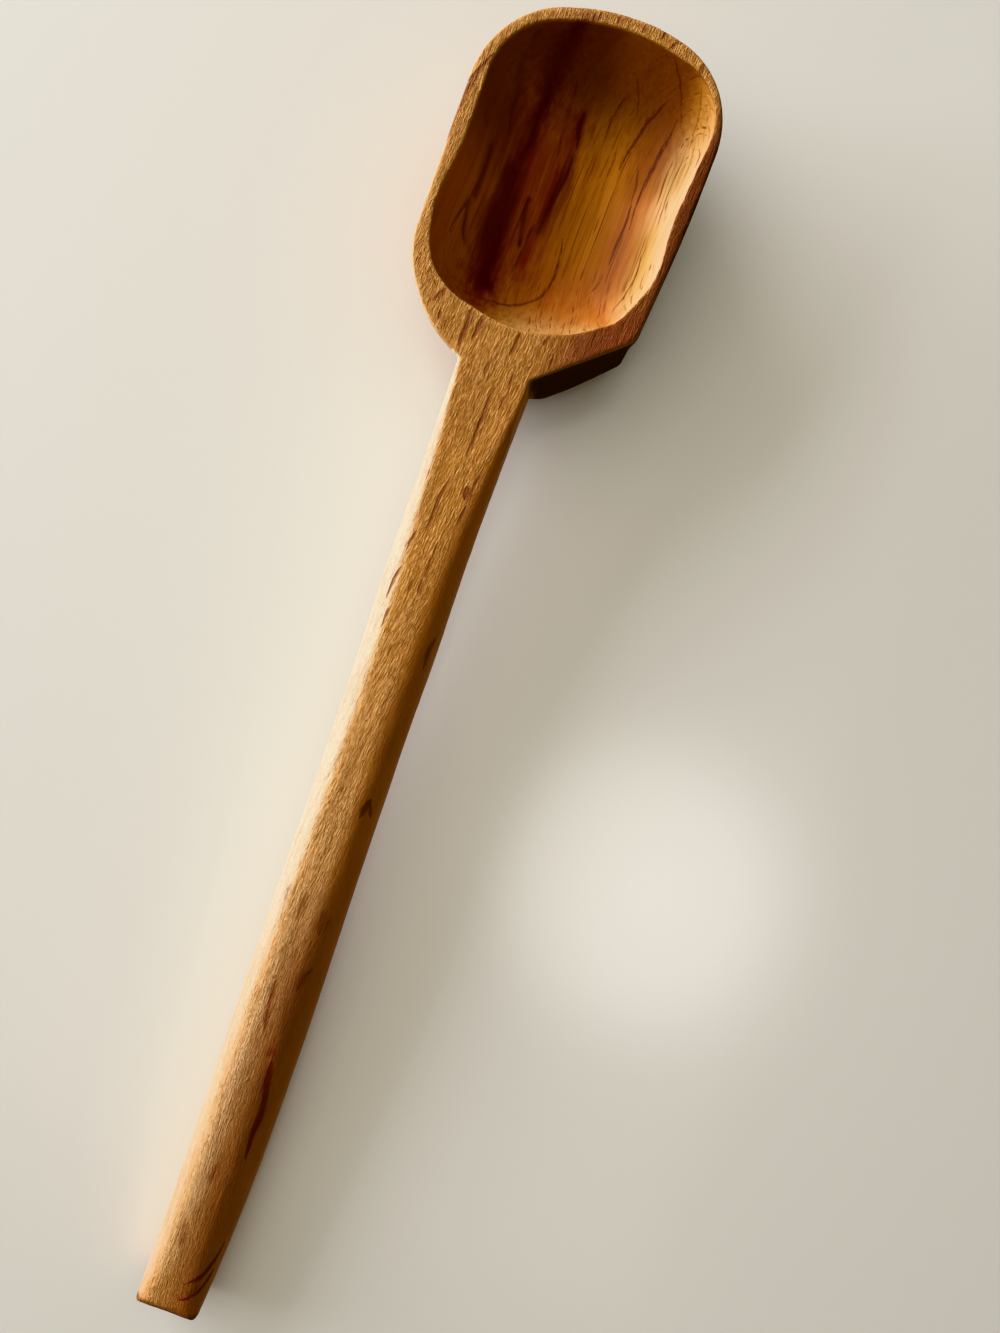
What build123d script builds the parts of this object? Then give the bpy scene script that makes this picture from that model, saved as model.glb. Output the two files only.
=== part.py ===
from build123d import *

import os
from math import asin, atan2, cos, hypot, radians, sin, sqrt, tan

# A wooden spoon, carved in one piece: a deep bowl with steep walls and a straight
# handle. Sizes are in millimetres. While the spoon is shaped, X runs from the end
# of the handle (x = 0) to the tip of the bowl, Y points to the left as seen from
# the handle, and the flat top of handle and rim lies at z = 0, with the wood below.

# Handle
handle_length = 213.7     # from its end to the corners where the bowl begins
handle_width = 16.0
handle_thickness = 14.0
end_round = 1.0           # rounded edge around the end grain
nose_length = 3.2         # the end's upper side is carved round, this long from above
nose_drop = 3.0           # and this deep down the end
neck_offset = 1.5         # the handle meets the bowl this far left of its middle
neck_depth = 18.0         # thickness where the handle runs into the bowl

# Bowl, outside
bowl_length = 73.0        # from the neck corners to the tip
bowl_width = 52.0
bowl_height = 28.0
rim_ease = 0.6            # eased outer edge of the rim
foot_cut = 0.45           # depth of the flat that is cut on the belly
foot_setback = 10.5       # from the middle of the bowl back to the foot's origin

# Bowl, inside
rim_side = 3.3            # width of the flat rim at the sides
rim_tip = 3.4
rim_rear = 8.0
floor_thickness = 6.5

# The outside of the bowl, seen from above, is a ring of corners, each with its
# own round. A corner has its place along the bowl and across it, as shares of the
# bowl's length and half its width, and the share of the shorter side beside it that
# its round takes up.
outline_shares = (
    (-0.025, 0.288, 0.050),    # hidden in the neck, left
    (0.050, 0.665, 0.450),     # rear, left
    (0.205, 0.985, 0.450),     # left shoulder
    (0.906, 0.972, 0.520),     # tip, left
    (1.013, -0.060, 0.430),    # tip
    (0.929, -1.018, 0.560),    # tip, right
    (0.500, -0.995, 0.350),    # slight belly of the right side
    (0.185, -0.921, 0.080),    # right shoulder
    (-0.025, -0.212, 0.050),   # hidden in the neck, right
)

# The hollow's edge at the rim, in the same way, as shares of the hollow's own
# length and half its width. Both sides have a shallow waist.
hollow_shares = (
    (0.061, 0.905, 0.570),     # rear, left
    (0.304, 1.040, 0.305),     # crest of the left side
    (0.500, 0.966, 0.240),     # waist of the left side
    (0.902, 0.973, 0.435),     # tip, left
    (1.028, 0.020, 0.530),     # tip
    (0.930, -1.097, 0.405),    # tip, right
    (0.484, -0.987, 0.270),    # waist of the right side
    (0.300, -1.038, 0.410),    # crest of the right side
    (0.130, -0.838, 0.215),    # rear, right
    (0.042, -0.500, 0.335),    # rear, right of the middle
    (-0.013, 0.000, 0.600),    # rear
)

# Walls: at each share of the full depth the outline has shrunk to the square root
# of one minus that share raised to a power. A high power gives a steep wall.
belly_levels_shares = (0, 0.16, 0.32, 0.47, 0.60, 0.70, 0.78, 0.85, 0.90, 0.94, 0.97, 0.99)
belly_power = 8
hollow_levels_shares = (0, 0.14, 0.28, 0.42, 0.55, 0.66, 0.76, 0.84, 0.90, 0.95, 0.98, 0.995)
hollow_power = 3.2

# Sections of the handle: place along it, width, thickness, round of the upper
# edges, round of the lower edges and shift towards the neck's offset, as shares of
# the handle's length, its width, its thickness, the smaller of these two (for both
# rounds) and the offset.
handle_shares = (
    (0.000, 0.890, 0.930, 0.210, 0.350, 0.25),
    (0.050, 0.925, 0.950, 0.360, 0.420, 0.00),
    (0.180, 1.010, 1.000, 0.455, 0.455, -0.12),
    (0.330, 1.025, 1.020, 0.460, 0.460, 0.05),
    (0.520, 0.995, 1.010, 0.455, 0.455, 0.42),
    (0.680, 0.985, 1.000, 0.440, 0.450, 0.60),
    (0.780, 1.000, 1.000, 0.400, 0.445, 0.82),
    (0.870, 0.985, 1.010, 0.290, 0.430, 0.80),
    (0.940, 0.985, 1.050, 0.170, 0.410, 0.70),
)
# The last two sections are at the corners where the bowl begins and inside its
# rear wall, as far on as the rear rim is wide. The thickness is a share of the
# neck's depth.
neck_shares = (
    (0.980, 1.000, 0.045, 0.330, 0.72),
    (1.030, 1.200, 0.045, 0.300, 0.80),
)

# The round of the nose passes this share of its length and drop away from the
# corner that is carved off, slightly flatter than a quarter of a circle.
nose_middle_share = 0.31


def ring(corners, length, width, scale_share):
    """Flat face inside rounded corners, shrunk about the ring's middle."""
    middle = Vector(length / 2, 0)
    points = []
    for along_share, across_share, _ in corners:
        point = Vector(along_share * length, across_share * width / 2)
        points.append(middle + (point - middle) * scale_share)
    radii = []
    for number, (_, _, cut_share) in enumerate(corners):
        before = points[number - 1] - points[number]
        after = points[(number + 1) % len(points)] - points[number]
        cut = cut_share * min(before.length, after.length)
        radii.append(cut * tan(radians(before.get_angle(after) / 2)))
    return make_face(FilletPolyline(*points, radius=radii, close=True))


def cup(corners, length, width, depth, levels_shares, power):
    """Solid that hangs from z = 0 and narrows to a nearly flat underside."""
    sections = []
    for level_share in levels_shares:
        scale_share = sqrt(1 - level_share**power)
        sections.append(Pos(0, 0, -depth * level_share) * ring(corners, length, width, scale_share))
    return loft(sections)


def block_section(place, width, depth, upper_round, lower_round, shift):
    """Section across the handle: a rectangle with two radii, its top at z = 0."""
    half = width / 2
    corners = [(-half, 0), (half, 0), (half, -depth), (-half, -depth)]
    radii = [upper_round, upper_round, lower_round, lower_round]
    face = make_face(FilletPolyline(*corners, radius=radii, close=True))
    across = Plane(origin=(place, shift, 0), x_dir=(0, 1, 0), z_dir=(1, 0, 0))
    return across * face


def make_handle():
    """Handle from its end to inside the bowl's rear wall, end edge rounded."""
    smaller = min(handle_width, handle_thickness)
    sections = []
    for along, wide, thick, upper, lower, shift in handle_shares:
        sections.append(
            block_section(
                along * handle_length,
                wide * handle_width,
                thick * handle_thickness,
                upper * smaller,
                lower * smaller,
                shift * neck_offset,
            )
        )
    places = (handle_length, handle_length + rim_rear)
    for place, (wide, deep, upper, lower, shift) in zip(places, neck_shares):
        sections.append(
            block_section(
                place,
                wide * handle_width,
                deep * neck_depth,
                upper * smaller,
                lower * smaller,
                shift * neck_offset,
            )
        )
    handle = loft(sections)
    end_face = handle.faces().sort_by(Axis.X)[0]
    return fillet(end_face.edges(), end_round) - make_nose()


def make_nose():
    """Wood that is carved off above the end, up to a round in the side view."""
    top = (nose_length, 0)
    middle = (nose_middle_share * nose_length, -nose_middle_share * nose_drop)
    low = (0, -nose_drop)
    carved = ThreePointArc(top, middle, low)
    clear = Polyline(low, (-end_round, -nose_drop), (-end_round, end_round), (nose_length, end_round), top)
    face = Plane.XZ * make_face(carved + clear)
    return extrude(face, amount=handle_width, both=True)


def table_plane():
    """Plane that the spoon lies on: it touches the handle's rounded end and cuts
    the foot on the belly. Its origin is the foot's."""
    foot_x = handle_length + bowl_length / 2 - foot_setback
    foot_z = foot_cut - bowl_height
    end_thickness = handle_shares[0][2] * handle_thickness
    reach = foot_x - end_round
    drop = end_round - end_thickness - foot_z
    tilt = atan2(drop, reach) - asin(end_round / hypot(reach, drop))
    return Plane(
        origin=(foot_x, 0, foot_z),
        x_dir=(cos(tilt), 0, -sin(tilt)),
        z_dir=(sin(tilt), 0, cos(tilt)),
    )


def make_bowl(table):
    """Outside of the bowl, solid, with the eased rim and the flat foot."""
    belly = cup(
        outline_shares, bowl_length, bowl_width, bowl_height, belly_levels_shares, belly_power
    )
    rim_edges = belly.faces().sort_by(Axis.Z)[-1].edges()
    belly = Pos(handle_length, 0, 0) * fillet(rim_edges, rim_ease)
    below = table * Box(
        2 * bowl_length, 2 * bowl_width, bowl_height, align=(Align.CENTER, Align.CENTER, Align.MAX)
    )
    return belly - below


def make_hollow():
    """The space inside the bowl."""
    length = bowl_length - rim_rear - rim_tip
    width = bowl_width - 2 * rim_side
    depth = bowl_height - floor_thickness
    hollow = cup(hollow_shares, length, width, depth, hollow_levels_shares, hollow_power)
    return Pos(handle_length + rim_rear, 0, 0) * hollow


table = table_plane()
spoon = make_handle() + make_bowl(table) - make_hollow()
spoon = table.to_local_coords(spoon)

os.makedirs("parts", exist_ok=True)
export_step(spoon, "parts/spoon.step")
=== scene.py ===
from itertools import product
from math import cos, radians, sin

import bmesh
import bpy
import numpy as np
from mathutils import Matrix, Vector


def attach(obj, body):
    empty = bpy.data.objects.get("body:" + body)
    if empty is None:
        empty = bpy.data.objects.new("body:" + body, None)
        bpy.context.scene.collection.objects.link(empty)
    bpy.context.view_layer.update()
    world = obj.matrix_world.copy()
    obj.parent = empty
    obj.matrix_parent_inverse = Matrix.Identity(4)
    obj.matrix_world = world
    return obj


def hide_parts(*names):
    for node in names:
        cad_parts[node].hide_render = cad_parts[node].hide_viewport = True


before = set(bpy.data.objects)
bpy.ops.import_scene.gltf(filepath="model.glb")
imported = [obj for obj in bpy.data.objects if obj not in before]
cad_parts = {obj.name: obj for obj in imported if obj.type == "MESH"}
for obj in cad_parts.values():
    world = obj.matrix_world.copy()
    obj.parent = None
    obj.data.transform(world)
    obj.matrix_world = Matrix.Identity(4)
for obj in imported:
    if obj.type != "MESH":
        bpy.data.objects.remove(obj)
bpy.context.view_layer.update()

# A wooden spoon on a plain light table, lit by a window at the upper left. One fine mesh
# is made over the CAD solid, worn and carved a little, and carries named fields that
# say where its wood is streaked and stained and where highlights and shade are painted.

MM = 0.001

# The spoon's own frame, in millimetres: x from the end of the handle, y to the
# left and z up from the flat top. It lies on its foot, tilted towards the handle.
FOOT = (239.7, -27.55)
TILT = radians(3.483)
BOWL_START = 213.7
BOWL_END = 286.7

# Shape, in millimetres
VOXEL = 0.34              # side of a face of the fine mesh
LONG_CUT = 0.09           # depth of the knife's cuts along the handle
SHORT_CUT = 0.05          # the same on the bowl
FINE_CUT = 0.03           # depth of the fine ripples
EDGE_DRAW = 0.10          # a full edge draws in this far when it is smoothed
RIM_FALL = 0.40           # how far the rim's right side falls away outwards
WALL_LEAN = 2.6           # how far two outer walls draw in towards the foot
WALL_FLARE = 1.5          # how far the rear wall at the right stands out below
FIBRE_HEIGHT = 0.42       # raised fibres, in the material only

# Lines in the wood were picked on enlarged crops of the photograph. Each crop
# has the photograph's pixel at its upper left corner, x and y, and its enlargement.
BOWL = (415, 0, 4.347)
REAR_RIM = (510, 320, 6.0)
NECK = (400, 300, 5.769)
MIDDLE = (330, 540, 5.769)
LOWER = (230, 780, 5.357)
END = (120, 1040, 5.119)
END_WIDE = (120, 1040, 4.286)
PICK_REACH = 2.2          # a pick takes the nearest point within so many pixels
PICK_LAYER = 2.0          # and so many millimetres below the highest one there

# Dark streaks: the crop, half their width in millimetres, their depth of tone and
# the picks along them, in pixels of the enlarged crop.
STREAKS = (
    (BOWL, 0.45, 0.8, ((300, 470), (320, 560))),
    (BOWL, 0.6, 0.9, ((470, 390), (430, 450), (410, 570))),
    (BOWL, 0.7, 0.9, ((345, 600), (300, 730), (250, 850), (180, 940), (150, 1010))),
    (BOWL, 0.6, 0.8, ((225, 930), (205, 990), (215, 1060))),
    (BOWL, 0.5, 0.6, ((330, 420), (310, 500), (300, 570))),
    (BOWL, 0.45, 0.6, ((280, 760), (230, 880), (215, 980))),
    (BOWL, 0.5, 0.8, ((710, 345), (690, 420))),
    (BOWL, 0.75, 1, ((738, 480), (715, 560), (705, 650))),
    (BOWL, 0.7, 0.9, ((680, 690), (650, 780), (600, 880), (560, 960))),
    (BOWL, 0.4, 0.5, ((640, 590), (620, 680))),
    (BOWL, 0.5, 0.7, ((660, 700), (620, 800), (590, 900), (540, 1000))),
    (BOWL, 0.7, 0.6, ((520, 980), (470, 1080), (420, 1180))),
    (BOWL, 0.5, 0.6, ((600, 850), (570, 940))),
    (BOWL, 0.5, 0.75, ((640, 1040), (625, 1150), (590, 1240), (540, 1300), (440, 1330), (340, 1315),
        (210, 1260), (100, 1150))),
    (BOWL, 0.4, 0.5, ((120, 1180), (200, 1290), (330, 1370), (420, 1400))),
    (BOWL, 0.4, 0.6, ((940, 400), (880, 470), (840, 560), (815, 640))),
    (BOWL, 0.35, 0.6, ((960, 310), (975, 410), (960, 520))),
    (BOWL, 0.55, 0.8, ((1100, 430), (1030, 510), (970, 590), (915, 690), (890, 740))),
    (BOWL, 0.4, 0.7, ((1130, 225), (1145, 320), (1155, 430), (1150, 560))),
    (BOWL, 0.35, 0.6, ((1245, 350), (1240, 460), (1215, 570), (1185, 660))),
    (BOWL, 0.4, 0.7, ((1140, 480), (1105, 600), (1050, 700), (1000, 800))),
    (BOWL, 0.4, 0.75, ((1100, 560), (1060, 680), (1000, 790), (960, 900), (930, 1000))),
    (BOWL, 0.35, 0.6, ((975, 700), (955, 830), (925, 930))),
    (BOWL, 0.35, 0.6, ((1020, 760), (985, 830))),
    (BOWL, 0.55, 0.85, ((940, 900), (905, 1000), (860, 1100), (835, 1160))),
    (BOWL, 0.35, 0.6, ((820, 920), (770, 1020))),
    (BOWL, 0.4, 0.7, ((1180, 650), (1120, 780), (1080, 900), (1050, 1000))),
    (BOWL, 0.4, 0.75, ((985, 1100), (975, 1160), (940, 1240), (890, 1310), (850, 1370))),
    (BOWL, 0.35, 0.5, ((820, 1180), (790, 1250), (740, 1290))),
    (BOWL, 0.35, 0.5, ((1200, 700), (1150, 800))),
    (BOWL, 0.35, 0.6, ((1080, 640), (1040, 740), (990, 830))),
    (BOWL, 0.3, 0.5, ((1290, 440), (1270, 530), (1240, 610))),
    (BOWL, 0.35, 0.5, ((1060, 1010), (1030, 1090))),
    (BOWL, 0.4, 0.5, ((880, 640), (850, 740), (800, 840))),
    (BOWL, 0.45, 0.8, ((350, 1380), (360, 1430))),
    (BOWL, 0.55, 0.9, ((250, 1340), (215, 1430), (190, 1500))),
    (BOWL, 0.5, 0.9, ((290, 1380), (255, 1470))),
    (BOWL, 0.45, 0.7, ((130, 1250), (80, 1310))),
    (BOWL, 0.5, 0.9, ((800, 1430), (770, 1500))),
    (BOWL, 0.6, 0.9, ((920, 1390), (880, 1500))),
    (BOWL, 0.4, 0.8, ((450, 1445), (430, 1500))),
    (BOWL, 0.4, 0.6, ((590, 1460), (560, 1500))),
    (BOWL, 0.45, 0.8, ((240, 1370), (200, 1480))),
    (BOWL, 0.4, 0.8, ((820, 1420), (790, 1500))),
    (BOWL, 0.4, 0.7, ((1010, 1290), (985, 1340))),
    (BOWL, 0.4, 0.9, ((785, 55), (775, 95))),
    (BOWL, 0.45, 0.9, ((815, 50), (795, 90))),
    (BOWL, 0.45, 0.9, ((1095, 135), (1065, 175))),
    (BOWL, 0.35, 0.7, ((1155, 165), (1110, 210))),
    (BOWL, 0.45, 0.8, ((1255, 280), (1240, 320))),
    (BOWL, 0.35, 0.6, ((895, 70), (880, 105))),
    (BOWL, 0.35, 0.6, ((1000, 110), (985, 145))),
    (BOWL, 0.5, 0.7, ((345, 230), (280, 300), (225, 370))),
    (BOWL, 0.45, 0.7, ((270, 340), (215, 400), (190, 480))),
    (BOWL, 0.45, 0.6, ((200, 440), (165, 530), (140, 620))),
    (BOWL, 0.35, 0.5, ((240, 350), (205, 410))),
    (BOWL, 0.45, 0.8, ((1260, 800), (1220, 890), (1195, 960))),
    (BOWL, 0.4, 0.7, ((1235, 860), (1190, 960))),
    (BOWL, 0.5, 0.8, ((1180, 980), (1130, 1090), (1090, 1180))),
    (BOWL, 0.35, 0.5, ((1250, 700), (1215, 790))),
    (BOWL, 0.4, 0.7, ((1120, 1060), (1080, 1160), (1060, 1220))),
    (BOWL, 0.35, 0.5, ((1300, 640), (1270, 740))),
    (NECK, 0.4, 0.8, ((545, 495), (500, 590), (470, 690), (430, 790), (380, 900))),
    (NECK, 0.85, 1, ((395, 1075), (388, 1105), (378, 1145))),
    (NECK, 0.4, 0.85, ((380, 1180), (350, 1250), (325, 1300))),
    (NECK, 0.45, 0.8, ((285, 1020), (230, 1140), (195, 1220), (155, 1320))),
    (NECK, 0.35, 0.5, ((480, 960), (430, 1070), (410, 1130))),
    (NECK, 0.35, 0.6, ((90, 1330), (60, 1390), (40, 1440))),
    (NECK, 0.5, 0.85, ((405, 60), (380, 140), (350, 225))),
    (NECK, 0.45, 0.75, ((485, 105), (440, 175), (400, 245))),
    (NECK, 0.45, 0.85, ((695, 190), (665, 250), (635, 315))),
    (NECK, 0.35, 0.6, ((885, 330), (870, 370), (860, 410))),
    (NECK, 0.35, 0.5, ((240, 60), (225, 110))),
    (NECK, 0.3, 0.5, ((600, 560), (570, 640))),
    (NECK, 0.3, 0.45, ((530, 330), (500, 400), (480, 440))),
    (NECK, 0.3, 0.45, ((660, 420), (625, 500))),
    (MIDDLE, 0.45, 0.75, ((410, 150), (365, 240), (325, 330))),
    (MIDDLE, 0.35, 0.55, ((625, 10), (590, 110), (545, 230))),
    (MIDDLE, 0.35, 0.6, ((545, 215), (520, 270), (505, 320))),
    (MIDDLE, 0.3, 0.45, ((475, 220), (440, 320))),
    (MIDDLE, 0.35, 0.5, ((350, 380), (300, 500))),
    (MIDDLE, 0.6, 0.45, ((610, 560), (560, 640), (540, 740))),
    (LOWER, 0.75, 0.95, ((755, 110), (730, 140), (695, 195))),
    (LOWER, 0.4, 0.6, ((748, 130), (752, 200))),
    (LOWER, 0.75, 0.25, ((430, 1020), (395, 1070), (360, 1120))),
    (LOWER, 0.35, 0.1, ((415, 610), (385, 680), (355, 740))),
    (LOWER, 0.4, 0.2, ((250, 1060), (215, 1170), (195, 1250), (175, 1350))),
    (LOWER, 0.3, 0.1, ((320, 560), (290, 640))),
    (LOWER, 0.5, 0.1, ((500, 700), (480, 830))),
    (LOWER, 0.6, 0.2, ((200, 1470), (240, 1440))),
    (END, 0.75, 0.8, ((775, 110), (762, 170), (745, 260), (735, 330))),
    (END, 0.7, 0.9, ((765, 150), (742, 320), (690, 450), (668, 530), (640, 610))),
    (END, 0.55, 0.9, ((535, 1030), (490, 1115), (435, 1195), (365, 1243), (325, 1250))),
    (END, 0.5, 0.9, ((480, 1170), (440, 1245), (385, 1300), (335, 1332), (305, 1332))),
    (END, 0.3, 0.08, ((500, 640), (455, 740))),
    (END, 0.3, 0.08, ((330, 920), (310, 1050))),
)

# The red heart of the tree, which the hollow cuts open, and stains beside it.
HEART = (
    (BOWL, 3.7, 1, ((735, 95), (640, 240), (585, 360), (540, 500))),
    (BOWL, 3.2, 0.85, ((585, 360), (540, 500), (480, 640), (420, 770))),
    (BOWL, 1.6, 0.8, ((500, 870), (470, 960), (450, 1050))),
    (BOWL, 2.8, 0.65, ((680, 690), (640, 790), (600, 880), (540, 1000))),
    (BOWL, 1.7, 0.6, ((330, 640), (290, 760), (260, 860))),
    (BOWL, 1.8, 0.5, ((230, 880), (215, 980), (260, 1160))),
    (BOWL, 2.4, 0.55, ((545, 130), (470, 330), (430, 470))),
    (BOWL, 1.3, 0.5, ((735, 480), (710, 600), (660, 740))),
)

# Broad stains on the handle and the rear rim.
STAINS = (
    (END_WIDE, 1.1, 0.7, ((640, 110), (622, 180), (612, 260), (595, 330))),
    (END_WIDE, 0.8, 0.8, ((610, 260), (580, 380), (550, 470))),
    (END_WIDE, 0.9, 0.7, ((330, 1040), (360, 1005), (400, 940))),
    (END_WIDE, 1.1, 0.7, ((260, 1110), (300, 1090), (330, 1060))),
    (LOWER, 0.9, 0.7, ((740, 115), (735, 150), (715, 185))),
    (LOWER, 1, 0.55, ((430, 1020), (395, 1070), (365, 1130))),
    (NECK, 0.8, 0.8, ((385, 1080), (383, 1120), (378, 1140))),
    (REAR_RIM, 1.2, 0.6, ((430, 110), (400, 150), (385, 180))),
    (REAR_RIM, 0.8, 0.6, ((520, 110), (490, 170), (460, 230))),
    (REAR_RIM, 0.7, 0.55, ((690, 60), (680, 110), (660, 160))),
    (NECK, 1, 0.45, ((600, 560), (640, 760), (600, 900))),
)

# The middle of the heart and the wide maroon zone around it have rough points in the
# spoon's own frame: half width, depth of tone and points, in millimetres.
HEART_MIDDLE = (
    (5.8, 1.1, ((258, 13.5, -18.5), (248, 13.3, -19), (240, 13, -18.8), (233, 11.3, -16.5))),
)
ZONE = (
    (9.5, 1.0, ((281, 11, -8), (268, 13, -17.5), (252, 13.5, -19), (236, 12, -18.5), (228, 12, -15))),
    (7.0, 0.8, ((272, 4.5, -18.5), (256, 5, -21), (240, 5.5, -20))),
)

# Direction of the grain against the spoon's length, in degrees, at these places.
GRAIN_PLACES = (0, 60, 100, 140, 185, 210, 240, 265, 290)
GRAIN_ANGLES = (-3, -3, 3, 7, 7, 5, 3, 1, 0)
RING_ACROSS, RING_UP = 0.9, 0.4      # how fast the rings follow across and up


def to_own(points):
    """Row-frame points in metres as points of the spoon's own frame."""
    x, y, z = (points / MM).T
    along = FOOT[0] + x * cos(TILT) + z * sin(TILT)
    up = FOOT[1] - x * sin(TILT) + z * cos(TILT)
    return np.stack([along, y, up], 1)


def turned(normals):
    """Row-frame directions as directions of the spoon's own frame."""
    x, y, z = normals.T
    return np.stack([x * cos(TILT) + z * sin(TILT), y, z * cos(TILT) - x * sin(TILT)], 1)


def step(value, low, high):
    """0 below low, 1 above high, smooth between. Low may be above high."""
    t = np.clip((value - low) / (high - low), 0, 1)
    return t * t * (3 - 2 * t)


def band(value, start, full, fade, end):
    """0 up to start, 1 from full to fade, 0 again from end on. May also run down."""
    return step(value, start, full) * step(value, end, fade)


def noise(points, seed):
    """Smooth value noise from -1 to 1, with one value per unit cube corner."""
    cell = np.floor(points).astype(np.int64)
    part = points - cell
    part = part * part * (3 - 2 * part)
    total = np.zeros(len(points))
    for corner in product((0, 1), repeat=3):
        k = cell + np.array(corner)
        h = (k[:, 0] * 73856093) ^ (k[:, 1] * 19349663) ^ (k[:, 2] * 83492791) ^ (seed * 2654435761)
        h = (h ^ (h >> 13)) * 1274126177
        h = (h ^ (h >> 16)) & 0xFFFF
        weight = np.prod(np.where(corner, part, 1 - part), 1)
        total += weight * (h / 32767.5 - 1)
    return total


def waves(own, lengths, seed):
    """Noise whose waves have these lengths along x, y and z."""
    return noise(own / np.array(lengths), seed)


def smoothed(points, edges, rounds, share):
    """Points moved towards the mean of their neighbours."""
    a, b = edges.T
    count = np.bincount(edges.ravel(), minlength=len(points))
    for _ in range(rounds):
        sums = [
            np.bincount(a, points[b, k], len(points)) + np.bincount(b, points[a, k], len(points))
            for k in range(3)
        ]
        mean = np.stack([total / count for total in sums], 1)
        points = points + share * (mean - points)
    return points


def array_of(items, name, width, kind=np.float32):
    values = np.empty(len(items) * width, kind)
    items.foreach_get(name, values)
    return values.reshape(-1, width)


def normals_of(mesh):
    mesh.update()
    return array_of(mesh.vertex_normals, "vector", 3).astype(float)


def write_points(mesh, points):
    mesh.vertices.foreach_set("co", points.astype(np.float32).ravel())
    mesh.update()


def write_field(mesh, name, values):
    single = values.ndim == 1
    field = mesh.attributes.new(name, "FLOAT" if single else "FLOAT_VECTOR", "POINT")
    field.data.foreach_set("value" if single else "vector", values.astype(np.float32).ravel())


def remeshed(node, name, voxel):
    """A fine, even mesh of a CAD node."""
    source = node.data.copy()
    bm = bmesh.new()
    bm.from_mesh(source)
    bmesh.ops.remove_doubles(bm, verts=bm.verts, dist=0.001 * MM)
    bm.to_mesh(source)
    bm.free()
    rough = bpy.data.objects.new(name + "_rough", source)
    bpy.context.scene.collection.objects.link(rough)
    skin = rough.modifiers.new("skin", "REMESH")
    skin.mode = "VOXEL"
    skin.voxel_size = voxel
    bpy.context.view_layer.update()
    mesh = bpy.data.meshes.new_from_object(rough.evaluated_get(bpy.context.evaluated_depsgraph_get()))
    bpy.data.objects.remove(rough)
    mesh.name = name
    mesh.materials.clear()
    return mesh


def grain_of(own):
    """Position along and across the grain, in millimetres."""
    x, y, z = own.T
    line = np.arange(-5.0, 292.0, 1.0)
    slope = np.tan(np.radians(np.interp(line, GRAIN_PLACES, GRAIN_ANGLES)))
    drift = np.cumsum(slope)
    drift -= np.interp(250.0, line, drift)
    wave = 0.5 * waves(own, (38.0, 16.0, 16.0), 11) + 0.2 * waves(own, (15.0, 7.0, 7.0), 12)
    return np.stack([x, y + np.interp(x, line, drift) + wave, z + 0.5 * wave], 1)


def seen_by_camera(points, normals):
    """Numbers of the points whose wood faces the camera, and their pixels."""
    away = points - np.array(CAMERA_PLACE)
    shown = -(away * normals).sum(1) > 0.02 * np.linalg.norm(away, axis=1)
    shown = np.where(shown)[0]
    away = away[shown]
    right = away[:, :2] @ (cos(CAMERA_TURN), sin(CAMERA_TURN))
    up = away[:, :2] @ (-sin(CAMERA_TURN), cos(CAMERA_TURN))
    x = PICTURE_WIDTH / 2 - FOCUS * right / away[:, 2]
    y = PICTURE_LENGTH / 2 + FOCUS * up / away[:, 2]
    return shown, np.stack([x, y], 1)


def laid_on_wood(rows, own, pixels):
    """Picked lines as lines of the spoon's own frame. Each pick takes the point of the
    wood that shows there. Own has the points that face the camera."""
    lines = []
    for (corner_x, corner_y, enlarged), half, depth, picks in rows:
        points = []
        for x, y in picks:
            pick = (corner_x + x / enlarged, corner_y + y / enlarged)
            away = np.hypot(*(pixels - pick).T)
            near = np.where(away <= max(PICK_REACH, away.min()))[0]
            near = near[own[near, 2] > own[near, 2].max() - PICK_LAYER]
            points.append(own[near[np.argmin(away[near])]])
        lines.append((half, depth, points))
    return tuple(lines)


def curve_through(points):
    """More points on the same line, with its corners cut."""
    points = np.array(points, float)
    for _ in range(2):
        if len(points) > 2:
            early = 0.75 * points[:-1] + 0.25 * points[1:]
            late = 0.25 * points[:-1] + 0.75 * points[1:]
            inner = np.stack([early, late], 1).reshape(-1, 3)
            points = np.concatenate([points[:1], inner[1:-1], points[-1:]])
    return points


def on_lines(own, facing, lines, blunt):
    """Depth of tone of the nearest line: its full depth along its middle, 0 at its
    edge and negative beyond. Distances follow the surface. Blunt lines keep more of
    their width at the ends."""
    best = np.full(len(own), -1.0)
    for half, depth, points in lines:
        points = curve_through(points)
        margin = 2.5 * half + 1.0
        near = ((own > points.min(0) - margin) & (own < points.max(0) + margin)).all(1)
        near = np.where(near)[0]
        place, normal = own[near], facing[near]
        lengths = np.linalg.norm(np.diff(points, axis=0), axis=1)
        start = np.concatenate([[0], np.cumsum(lengths)])
        value = np.full(len(near), -1.0)
        for k, length in enumerate(lengths):
            way = points[k + 1] - points[k]
            share = np.clip((place - points[k]) @ way / length**2, 0, 1)
            away = place - points[k] - share[:, None] * way
            rise = (away * normal).sum(1)
            distance = np.sqrt(np.maximum((away**2).sum(1) - 0.85 * rise**2, 0))
            along = (start[k] + share * length) / start[-1]
            taper = np.maximum(4 * along * (1 - along), blunt) ** 0.5
            value = np.maximum(value, depth * (1 - distance / (half * taper)))
        best[near] = np.maximum(best[near], value)
    return best


def with_worn_edges(points, normals, edges):
    """Points with the edges worn unevenly, and how far each is at an edge, 0 to 1."""
    own = to_own(points)
    x = own[:, 0]
    soft = smoothed(points, edges, 10, 0.6)
    at_edge = np.clip(-((soft - points) * normals).sum(1) / (EDGE_DRAW * MM), 0, 1)
    worn = 0.22 + 0.22 * waves(own, (9.0, 5.0, 5.0), 21)
    on_rim = step(x, BOWL_START, BOWL_START + 8)
    on_end = step(x, 8, 3)
    worn = np.clip(worn * (1 - 0.55 * on_rim) * (1 - 0.6 * on_end), 0, 1)
    return points + (soft - points) * worn[:, None], at_edge


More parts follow.
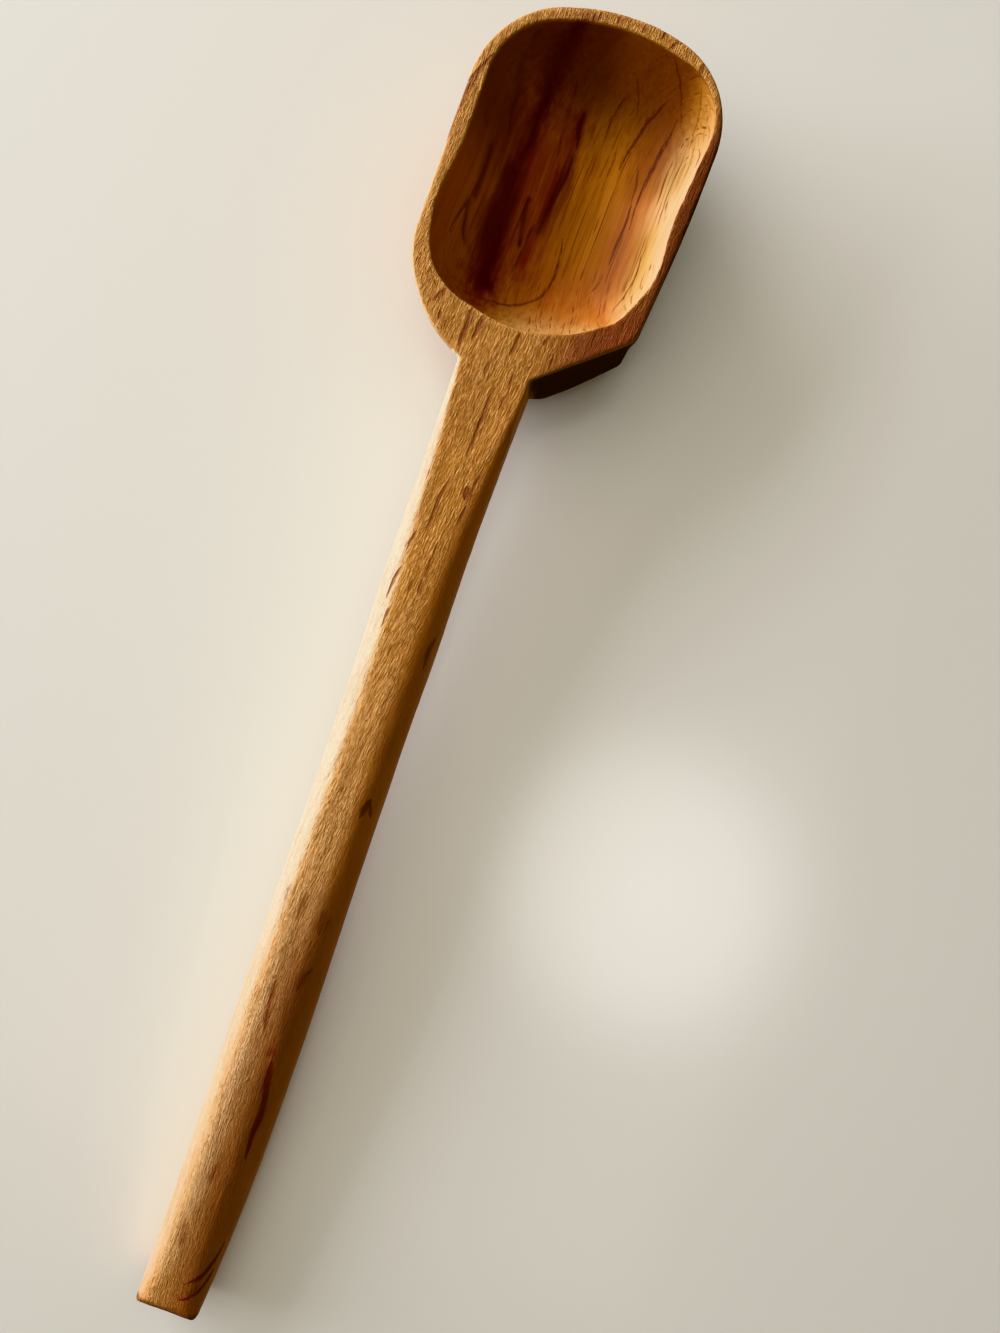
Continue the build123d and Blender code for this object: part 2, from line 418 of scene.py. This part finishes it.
def with_knife_cuts(points, normals, own):
    """Points with long shallow hollows on the handle and rounder ones on the bowl."""
    on_bowl = step(own[:, 0], BOWL_START - 6, BOWL_START + 8)
    long_cuts = LONG_CUT * (waves(own, (17.0, 4.2, 4.2), 31) - 1)
    short_cuts = SHORT_CUT * (waves(own, (8.0, 7.0, 5.0), 32) - 1)
    ripples = FINE_CUT * (waves(own, (2.6, 1.1, 1.1), 33) - 1)
    cut = (1 - on_bowl) * long_cuts + on_bowl * short_cuts + (1 - 0.4 * on_bowl) * ripples
    off_table = step(points[:, 2], 0.3 * MM, 2.0 * MM)
    return points + normals * (cut * off_table * MM)[:, None]


def with_uneven_walls(points, normals):
    """Points with the rim's right side falling away and three walls leaning."""
    x, y, z = to_own(points).T
    fall = step(y, -22.6, -26.5) * band(x, 221, 232, 268, 284) * step(z, -3.0, -0.3)
    left = WALL_LEAN * band(x, 209, 214, 222, 240) * step(y, 7.0, 10.0) * step(normals[:, 1], 0.0, 0.4)
    right = WALL_LEAN * step(x, 264, 236) * step(y, -16.0, -26.0) * step(normals[:, 1], -0.62, -0.95)
    rear = WALL_FLARE * band(x, 208, 212, 217, 231) * step(y, -5.0, -9.0) * step(normals[:, 0], -0.2, -0.5)
    lean = step(z, -1.0, -20.0) * (left + right - rear)
    points = points.copy()
    points[:, 2] -= RIM_FALL * fall * MM
    points[:, :2] -= normals[:, :2] * (lean * MM)[:, None]
    return points


def inside_of(own, normals):
    """1 in the hollow of the bowl, 0 elsewhere."""
    x, y, z = own.T
    middle = np.array([0.5 * (BOWL_START + BOWL_END), 0.0])
    inward = ((middle - own[:, :2]) * normals[:, :2]).sum(1)
    inside = step(z, -0.2, -1.0) * step(x, BOWL_START + 5, BOWL_START + 9) * step(inward, -3.0, 1.0)
    inside *= step(np.abs(y), 24.6, 23.8) * step(x, BOWL_END - 2.0, BOWL_END - 2.8)
    inside *= np.maximum(step(normals[:, 2], 0.2, 0.6), step(inward, 0.0, 4.0))
    return np.where(normals[:, 2] < -0.3, 0, inside)


def painted_highlight_of(own, facing, inside):
    """Painted highlights: the handle's left side and top where they face the window, the
    hollow's lit right and rear walls, and the rim's left edge."""
    x, y, z = own.T
    to_left = facing[:, 1]
    side = np.interp(x, (0, 30, 70, 110, 160), (0.66, 0.68, 0.80, 0.97, 1.0))
    side *= step(to_left, 0.08, np.interp(x, (60, 120), (0.80, 0.58)))
    top = np.interp(x, (0, 30, 60, 90, 130, 170), (0.40, 0.52, 0.54, 0.42, 0.16, 0.0))
    top *= step(to_left, -0.5, 0.1)
    right_wall = step(y, -15, -22) * (0.5 + 0.5 * step(x, 277, 264))
    rear_wall = step(x, 234, 225) * (0.2 + 0.4 * step(y, 12, 0) + 0.4 * step(y, -8, -13))
    lip = 0.75 * step(to_left, 0.25, 0.7) * step(z, -2.5, -0.6) * (1 - inside)
    lip *= 1 - 0.8 * step(y, 4, -4) * step(x, 266, 276)
    bowl = np.maximum(np.maximum(right_wall, rear_wall) * inside, lip)
    return np.where(x > BOWL_START, bowl, np.maximum(side, top))


def outer_tones(own, facing, inside):
    """Fields of the outside: painted shade below the right rim and on the handle's right, darker warm
    brown on the rim, the fibres, the end and its dark spots.
    """
    x, y, z = own.T
    to_right = -facing[:, 1]
    below_rim = step(z, -0.25, -0.9) * (1 - inside)
    right_wall = step(to_right, 0.2, 0.6) * step(x, 210.5, 213.5)
    rear_wall = step(-facing[:, 0], 0.2, 0.6) * step(y, -6, -8) * step(x, 207, 210)
    low = step(x, 120, 75)
    flat_rim = step(facing[:, 2], 0.6, 0.9) * step(z, -1.4, -0.5) * (1 - inside)
    warm_side = 0.93 * step(y, -20.5, -24.0) * band(x, 222, 232, 266, 284)
    warm_rear = 0.96 * step(y, -2, -17) * band(x, 210, 216, 230, 246)
    return {
        # painted shade: the outer walls below the right rim and at the neck's right, which face away from
        # the window, made near black
        "painted_outer_shade": 0.97 * below_rim * np.maximum(right_wall, rear_wall),
        "warm": flat_rim * np.maximum(warm_side, warm_rear),
        # painted shade tone: a redder brown on the handle's right side, which faces away from the window
        "side": 0.9 * step(x, 214, 206) * step(to_right, -0.05, 0.6),
        # painted shade on the right part of the lower handle's top
        "painted_handle_shade": 0.92 * low * step(y, 6.4, -3.6) * (1 - 0.80 * step(to_right, 0.25, 0.75)),
        "low": low,
        "fuzzy": 0.30 + 0.70 * step(facing[:, 2], 0.05, 0.50),
        # darker spots along the very end of the handle
        "end_spots": step(x, 2.9, 1.3),
        "end": np.maximum(step(x, 3.2, 1.6), 0.30 * step(x, 16, 2)),
    }


def inner_tones(own, inside):
    """Fields of the hollow: painted shade on its walls and on its floor's right, tip and rear, and painted
    light on its floor.
    """
    x, y, z = own.T
    dark_tip = 0.84 * step(x, 264, 280) * (0.62 + 0.38 * step(y, -7, 3))
    dark_left = step(y, 10, 19) * (0.50 + 0.34 * step(x, 248, 266))
    shaded_floor = np.maximum(
        0.80 * step(y, 2, -12) * band(x, 232, 242, 250, 262),
        0.55 * step(y, -8, -13) * step(x, 256, 266),
    )
    shaded_floor *= step(z, -7.0, -15.0)
    shaded_tip = 0.70 * step(x, 264, 278) * step(y, -1, -9)
    shaded_rear = 0.40 * step(y, -2, -12) * band(x, 220, 228, 236, 246)
    return {
        # painted shade on the tip and left walls, which face away from the window
        "painted_inner_shade": inside * step(y, -21, -15) * np.maximum(dark_tip, dark_left),
        # painted light: a lit golden pool on the hollow's floor
        "painted_floor_light": inside * band(y, 4, -1, -7, -13) * band(x, 236, 253, 272, 281),
        "shade": inside * np.maximum.reduce([shaded_floor, shaded_tip, shaded_rear]),
    }


def make_wood():
    mesh = remeshed(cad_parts["spoon"], "spoon_wood", VOXEL * MM)
    edges = array_of(mesh.edges, "vertices", 2, np.int32)
    points = array_of(mesh.vertices, "co", 3).astype(float)
    points = smoothed(points, edges, 2, 0.5)
    write_points(mesh, points)
    normals = normals_of(mesh)
    own = to_own(points)
    points, at_edge = with_worn_edges(points, normals, edges)
    points = with_knife_cuts(points, normals, own)
    points = with_uneven_walls(points, normals)
    write_points(mesh, points)

    normals = normals_of(mesh)
    own = to_own(points)
    facing = turned(normals)
    inside = inside_of(own, normals)
    grain = grain_of(own)
    wobble = np.stack([waves(own, (4.0, 1.6, 1.6), seed) for seed in (51, 52, 53)], 1)
    wobble *= np.array([0.3, 0.22, 0.22])
    shown, pixels = seen_by_camera(points, normals)
    streaks = laid_on_wood(STREAKS, own[shown], pixels)
    blots = laid_on_wood(HEART + STAINS, own[shown], pixels)
    fields = {
        "grain": grain,
        "ring": RING_ACROSS * grain[:, 1] + RING_UP * grain[:, 2],
        "inside": inside,
        "worn_edge": at_edge,
        "painted_highlight": painted_highlight_of(own, facing, inside),
        "streak": on_lines(own + wobble, facing, streaks, 0.15),
        "heart": on_lines(own + 2.5 * wobble, facing, blots + HEART_MIDDLE, 0.5),
        "zone": on_lines(own + 4.0 * wobble, facing, ZONE, 0.6),
        **outer_tones(own, facing, inside),
        **inner_tones(own, inside),
    }
    for name, values in fields.items():
        write_field(mesh, name, values)

    piece = bpy.data.objects.new("spoon_wood", mesh)
    bpy.context.scene.collection.objects.link(piece)
    mesh.polygons.foreach_set("use_smooth", np.ones(len(mesh.polygons), bool))
    mesh.materials.append(wood_material())
    return piece


class Graph:
    """Short names for the nodes of one material."""

    def __init__(self, name):
        self.material = bpy.data.materials.new(name)
        self.material.use_nodes = True
        self.tree = self.material.node_tree
        self.shader = self.tree.nodes["Principled BSDF"]

    def node(self, kind, **settings):
        made = self.tree.nodes.new(kind)
        for key, value in settings.items():
            setattr(made, key, value)
        return made

    def put(self, socket, value):
        if isinstance(value, bpy.types.NodeSocket):
            self.tree.links.new(value, socket)
        else:
            socket.default_value = value

    def put_all(self, made, **values):
        """Inputs by their names, with _ for a space."""
        for key, value in values.items():
            self.put(made.inputs[key.replace("_", " ")], value)
        return made.outputs[0]

    def math(self, operation, *values):
        made = self.node("ShaderNodeMath", operation=operation)
        for socket, value in zip(made.inputs, values):
            self.put(socket, value)
        return made.outputs[0]

    def add(self, a, b):
        return self.math("ADD", a, b)

    def times(self, a, b):
        return self.math("MULTIPLY", a, b)

    def less(self, a, b):
        return self.math("SUBTRACT", a, b)

    def range(self, value, low, high, out_low=0.0, out_high=1.0):
        """Smooth between low, which may be above high, and high."""
        made = self.node("ShaderNodeMapRange", interpolation_type="SMOOTHSTEP")
        return self.put_all(
            made, Value=value, From_Min=low, From_Max=high, To_Min=out_low, To_Max=out_high
        )

    def field(self, name, output="Fac"):
        return self.node("ShaderNodeAttribute", attribute_name=name).outputs[output]

    def noise(self, vector, stretch, detail=2.0, rough=0.5, twist=0.0):
        """Noise with so many waves per millimetre along each axis."""
        scaled = self.node("ShaderNodeVectorMath", operation="MULTIPLY")
        self.put(scaled.inputs[0], vector)
        self.put(scaled.inputs[1], stretch)
        return self.put_all(
            self.node("ShaderNodeTexNoise"),
            Vector=scaled.outputs[0], Scale=1.0, Detail=detail, Roughness=rough, Distortion=twist,
        )

    def noise_1d(self, value, detail=2.0, rough=0.5):
        made = self.node("ShaderNodeTexNoise", noise_dimensions="1D")
        return self.put_all(made, W=value, Scale=1.0, Detail=detail, Roughness=rough)

    def shaken(self, value, noise, amount):
        """The value, moved up and down by a noise around one half."""
        return self.add(value, self.times(self.less(noise, 0.5), amount))

    def mix(self, amount, a, b, blend="MIX"):
        made = self.node("ShaderNodeMix", data_type="RGBA", blend_type=blend)
        self.put(made.inputs["Factor"], amount)
        self.put(made.inputs[6], a)
        self.put(made.inputs[7], b)
        return made.outputs[2]

    def bump(self, height, distance):
        made = self.node("ShaderNodeBump")
        return self.put_all(made, Strength=1.0, Distance=distance, Height=height)


def colour(r, g, b):
    """A linear colour from the values 0 to 255 that a screen shows."""
    shares = (c / 255 for c in (r, g, b))
    return tuple(((c + 0.055) / 1.055) ** 2.4 if c > 0.04 else c / 12.92 for c in shares) + (1.0,)


class Grain:
    """The noises that the wood's tones are made of."""

    def __init__(self, g):
        grain = g.field("grain", "Vector")
        wander = g.noise(grain, (0.02, 0.2, 0.2))
        place = g.add(g.field("ring"), g.times(wander, 2.0))
        self.bands = g.range(g.noise_1d(g.times(place, 0.38), 2.0, 0.55), 0.3, 0.7)
        self.fine = g.noise_1d(g.times(place, 3.2), 3.0, 0.6)
        self.flow = g.noise(grain, (0.04, 0.8, 0.8), 3.0, 0.6)
        self.fibre = g.noise(grain, (0.30, 4.5, 4.5), 3.0, 0.6)
        self.fuzz = g.noise(grain, (0.62, 3.6, 3.6), 2.5, 0.70, 0.45)
        self.twist = g.noise(grain, (0.10, 0.3, 0.3), 1.0)
        self.pores = g.range(g.noise(grain, (0.42, 6.0, 6.0), 1.0), 0.64, 0.72)
        # thin dark rings, and finer ones inside the bowl, that come and go
        rings = g.range(g.noise_1d(g.times(place, 1.1), 1.0), 0.62, 0.70)
        self.line = g.times(rings, g.range(g.noise(grain, (0.05, 0.6, 0.6), 1.0), 0.50, 0.66))
        hairs = g.range(g.noise_1d(g.times(place, 2.6), 1.0), 0.60, 0.70)
        self.hairs = g.times(hairs, g.range(g.noise(grain, (0.07, 0.9, 0.9), 1.0), 0.42, 0.60))
        # the placed streaks and stains, with broken edges
        self.streak = g.shaken(g.field("streak"), g.noise(grain, (0.24, 2.8, 2.8), 3.0, 0.6), 1.1)
        self.mark = g.range(self.streak, -0.10, 0.70)
        self.blush = g.range(g.shaken(g.field("heart"), self.flow, 0.8), -0.1, 0.95)
        self.red = g.range(g.shaken(g.field("zone"), self.flow, 1.2), -0.1, 1.0)


def outer_wood(g, grain):
    """Colour of the outside: golden brown with raised fibres, a painted highlight at the left and painted
    shade at the right.
    """
    painted_highlight, low, fuzzy = g.field("painted_highlight"), g.field("low"), g.field("fuzzy")
    wood = g.mix(grain.bands, colour(172, 118, 50), colour(162, 106, 40))
    cream = g.mix(g.range(painted_highlight, 0.35, 0.95), colour(246, 210, 156), colour(255, 244, 212))
    # painted highlight: cream where the handle and the rim face the window
    wood = g.mix(g.times(painted_highlight, 0.9), wood, cream)
    wood = g.mix(g.range(grain.flow, 0.40, 0.75, 0.0, 0.40), wood, colour(139, 88, 35))
    wood = g.mix(g.range(grain.fibre, 0.45, 0.7, 0.0, 0.40), wood, colour(134, 84, 33))
    wood = g.mix(g.range(grain.fine, 0.52, 0.75, 0.0, 0.25), wood, colour(132, 77, 28))
    wood = g.mix(g.times(grain.pores, 0.35), wood, colour(98, 56, 22))
    # raised fibres: partly their own lighter and darker tone, partly a painted highlight on their tops and
    # painted shade between them
    fibre_tone_and_highlight = g.times(fuzzy, g.range(grain.fuzz, 0.50, 0.64, 0.0, 0.40))
    wood = g.mix(fibre_tone_and_highlight, wood, colour(228, 174, 108))
    fibre_tone_and_shade = g.times(fuzzy, g.range(grain.fuzz, 0.50, 0.36, 0.0, 0.52))
    wood = g.mix(fibre_tone_and_shade, wood, g.mix(low, colour(112, 60, 18), colour(152, 88, 34)))
    wood = g.mix(g.times(grain.line, 0.35), wood, colour(98, 50, 20))
    wood = g.mix(g.times(g.field("worn_edge"), 0.14), wood, colour(214, 164, 100))
    # painted shade tone on the handle's right side
    wood = g.mix(g.field("side"), wood, colour(190, 112, 50))
    # painted shade over the lower handle's right part
    wood = g.mix(g.field("painted_handle_shade"), wood, colour(112, 58, 22))
    wood = g.mix(g.field("warm"), wood, colour(108, 44, 0))
    wood = g.mix(g.times(g.field("end"), 0.70), wood, colour(170, 100, 44))
    # dark spots along the very end, where the fibre noise is low
    end_spots = g.times(g.field("end_spots"), g.range(grain.fuzz, 0.62, 0.42, 0.35, 0.95))
    wood = g.mix(end_spots, wood, colour(74, 26, 8))
    wood = g.mix(g.times(grain.blush, 0.75), wood, colour(106, 42, 8))
    streak = g.times(g.range(grain.streak, -0.40, 0.40), 0.85)
    return g.mix(streak, wood, g.mix(low, colour(110, 50, 2), colour(98, 14, 8)))


def inner_wood(g, grain):
    """Colour of the hollow: orange brown, with the maroon heart and dark hairs, and painted light and
    shade on its walls and floor.
    """
    wood = g.mix(grain.bands, colour(198, 128, 64), colour(184, 106, 50))
    # painted highlight on the hollow's lit right and rear walls
    wood = g.mix(g.times(g.field("painted_highlight"), 0.92), wood, colour(242, 208, 148))
    # painted light: golden pool on the hollow's floor
    wood = g.mix(g.times(g.field("painted_floor_light"), 0.85), wood, colour(232, 162, 72))
    wood = g.mix(g.range(grain.flow, 0.38, 0.75, 0.0, 0.50), wood, colour(150, 80, 30))
    wood = g.mix(g.range(grain.fine, 0.50, 0.75, 0.0, 0.30), wood, colour(136, 66, 20))
    wood = g.mix(g.range(grain.fibre, 0.5, 0.75, 0.0, 0.20), wood, colour(142, 80, 30))
    wood = g.mix(g.times(grain.red, 0.82), wood, colour(132, 42, 58))
    # painted shade on the hollow's tip and left walls
    wood = g.mix(g.field("painted_inner_shade"), wood, colour(78, 34, 42))
    wood = g.mix(g.times(grain.line, 0.50), wood, colour(98, 42, 18))
    wood = g.mix(g.times(grain.hairs, 0.75), wood, colour(106, 36, 26))
    wood = g.mix(g.times(grain.blush, 0.96), wood, colour(74, 12, 30))
    return g.mix(g.times(grain.mark, 0.82), wood, colour(82, 14, 26))


def wood_material():
    g = Graph("oiled_wood")
    grain = Grain(g)
    inside, painted_outer_shade = g.field("inside"), g.field("painted_outer_shade")
    wood = g.mix(inside, outer_wood(g, grain), inner_wood(g, grain))
    # painted shade multiplied onto the outer walls below the right rim, with rougher wood there
    wood = g.mix(painted_outer_shade, wood, colour(64, 4, 2), "MULTIPLY")
    # painted shade multiplied onto the hollow's floor at its right, tip and rear
    wood = g.mix(g.field("shade"), wood, colour(196, 180, 110), "MULTIPLY")
    rough = g.shaken(g.range(inside, 0.0, 1.0, 0.56, 0.52), grain.fibre, 0.25)
    rough = g.add(rough, g.times(painted_outer_shade, 0.5))

    raised = g.add(g.times(g.times(grain.fuzz, g.field("fuzzy")), 1.8), g.times(grain.fibre, 0.4))
    raised = g.times(raised, g.range(grain.twist, 0.3, 0.7, 0.7, 1.1))
    raised = g.less(raised, g.times(grain.mark, 0.5))
    height = g.times(raised, g.range(inside, 0.0, 1.0, 1.0, 0.10))
    g.put_all(
        g.shader, Base_Color=wood, Roughness=rough, Specular_IOR_Level=0.22,
        Normal=g.bump(height, FIBRE_HEIGHT * MM),
    )
    return g.material


# The camera hangs above the table and looks straight down.
CAMERA_PLACE = Vector((-0.084687, -0.020426, 0.227386))
CAMERA_TURN = radians(-70.081)
SENSOR = 36.0             # millimetres along the picture's longer side
PICTURE_WIDTH, PICTURE_LENGTH = 1000, 1333     # in pixels
FOCUS = 1000              # focal length in pixels

FLOOR_HALF = 3.0          # half the floor's side, in metres
FLOOR_DROP = 0.03         # millimetres below the spoon, so that they don't fight
FLOOR_COLOUR = colour(232, 231, 226)
FLOOR_ROUGHNESS = 0.17

# Lamps, in metres and watts. Floor and spoon each have a window and a ceiling.
CENTRE = Vector((-0.08, 0, 0))
TO_WINDOW = (-0.78, 0.62)     # to the right and up in the picture
WINDOW_AWAY, WINDOW_UP = 1.25, 0.47
WINDOW_SIZE, SPOON_WINDOW_SIZE = (1.8, 0.66), (1.8, 0.8)
WINDOW_RISE = 0.05        # the spoon's window stands this much higher
CEILING_AWAY, CEILING_UP, CEILING_SIZE = 0.5, 1.2, (2.0, 2.0)
GLEAMS = ((0.22, 0.45), (0.48, 2.75))     # widths and powers
GLEAM_PLACE = (0.145, -0.2185)     # right and up, as shares of the camera's height
GLEAM_AWAY = 1.5
WARM_ROOM = (1.0, 0.84, 0.60, 1.0)
ROOM_STRENGTH = 0.13


def make_camera():
    data = bpy.data.cameras.new("camera")
    data.sensor_width = SENSOR
    data.sensor_fit = "AUTO"
    data.lens = SENSOR * FOCUS / PICTURE_LENGTH
    data.clip_start = 0.01
    camera = bpy.data.objects.new("camera", data)
    bpy.context.scene.collection.objects.link(camera)
    camera.location = CAMERA_PLACE
    camera.rotation_euler = (0, 0, CAMERA_TURN)
    bpy.context.scene.camera = camera


def picture_way(right, up):
    """Horizontal direction in the row frame for a direction in the picture."""
    return Vector((
        right * cos(CAMERA_TURN) - up * sin(CAMERA_TURN),
        right * sin(CAMERA_TURN) + up * cos(CAMERA_TURN),
        0.0,
    ))


def make_floor():
    mesh = bpy.data.meshes.new("floor")
    corners = [(x * FLOOR_HALF, y * FLOOR_HALF, 0) for x, y in ((-1, -1), (1, -1), (1, 1), (-1, 1))]
    mesh.from_pydata(corners, [], [(0, 1, 2, 3)])
    floor = bpy.data.objects.new("floor", mesh)
    floor.location.z = -FLOOR_DROP * MM
    bpy.context.scene.collection.objects.link(floor)
    g = Graph("pale_floor")
    g.put_all(g.shader, Base_Color=FLOOR_COLOUR, Roughness=FLOOR_ROUGHNESS)
    mesh.materials.append(g.material)
    return floor


def make_lamp(name, place, target, size, power, tint, piece):
    """An area lamp that lights one piece and nothing else, by light linking."""
    light = bpy.data.lights.new(name, "AREA")
    light.shape = "RECTANGLE"
    light.size, light.size_y = size
    light.energy = power
    light.color = tint
    lamp = bpy.data.objects.new(name, light)
    bpy.context.scene.collection.objects.link(lamp)
    lamp.location = place
    lamp.rotation_euler = (target - place).to_track_quat("-Z", "Y").to_euler()
    group = bpy.data.collections.new(name + "_on_" + piece.name)
    group.objects.link(piece)
    lamp.light_linking.receiver_collection = group
    return lamp


def make_daylight(floor, spoon):
    to_window = picture_way(*TO_WINDOW)
    window = CENTRE + to_window * WINDOW_AWAY + Vector((0, 0, WINDOW_UP))
    higher = window + Vector((0, 0, WINDOW_RISE))
    ceiling = CENTRE + to_window * CEILING_AWAY + Vector((0, 0, CEILING_UP))
    under = ceiling - Vector((0, 0, 1))
    make_lamp("window", window, CENTRE, WINDOW_SIZE, 23.0, (0.975, 1.0, 1.065), floor)
    make_lamp("window_spoon", higher, CENTRE, SPOON_WINDOW_SIZE, 70.0, (1.0, 0.99, 0.98), spoon)
    make_lamp("ceiling", ceiling, under, CEILING_SIZE, 12.5, (1.0, 0.94, 0.81), floor)
    make_lamp("ceiling_spoon", ceiling, under, CEILING_SIZE, 3.0, (1.0, 0.975, 0.94), spoon)


def make_gleam(floor):
    """Lamps that show only as one soft gleam on the floor."""
    foot = CAMERA_PLACE + picture_way(*GLEAM_PLACE) * CAMERA_PLACE.z
    foot.z = 0
    way = (foot - CAMERA_PLACE).normalized()
    place = foot + Vector((way.x, way.y, -way.z)) * GLEAM_AWAY
    for number, (width, power) in enumerate(GLEAMS):
        gleam = make_lamp(f"gleam_{number}", place, foot, (width, width), power, (1.0, 0.98, 0.94), floor)
        gleam.data.shape = "DISK"
        gleam.visible_diffuse = False


def make_world():
    world = bpy.data.worlds.new("room")
    world.use_nodes = True
    background = world.node_tree.nodes["Background"]
    background.inputs["Color"].default_value = WARM_ROOM
    background.inputs["Strength"].default_value = ROOM_STRENGTH
    bpy.context.scene.world = world
    bpy.context.scene.view_settings.view_transform = "Khronos PBR Neutral"


make_camera()
floor = make_floor()
spoon = make_wood()
make_daylight(floor, spoon)
make_gleam(floor)
make_world()
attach(spoon, "root")
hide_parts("spoon")
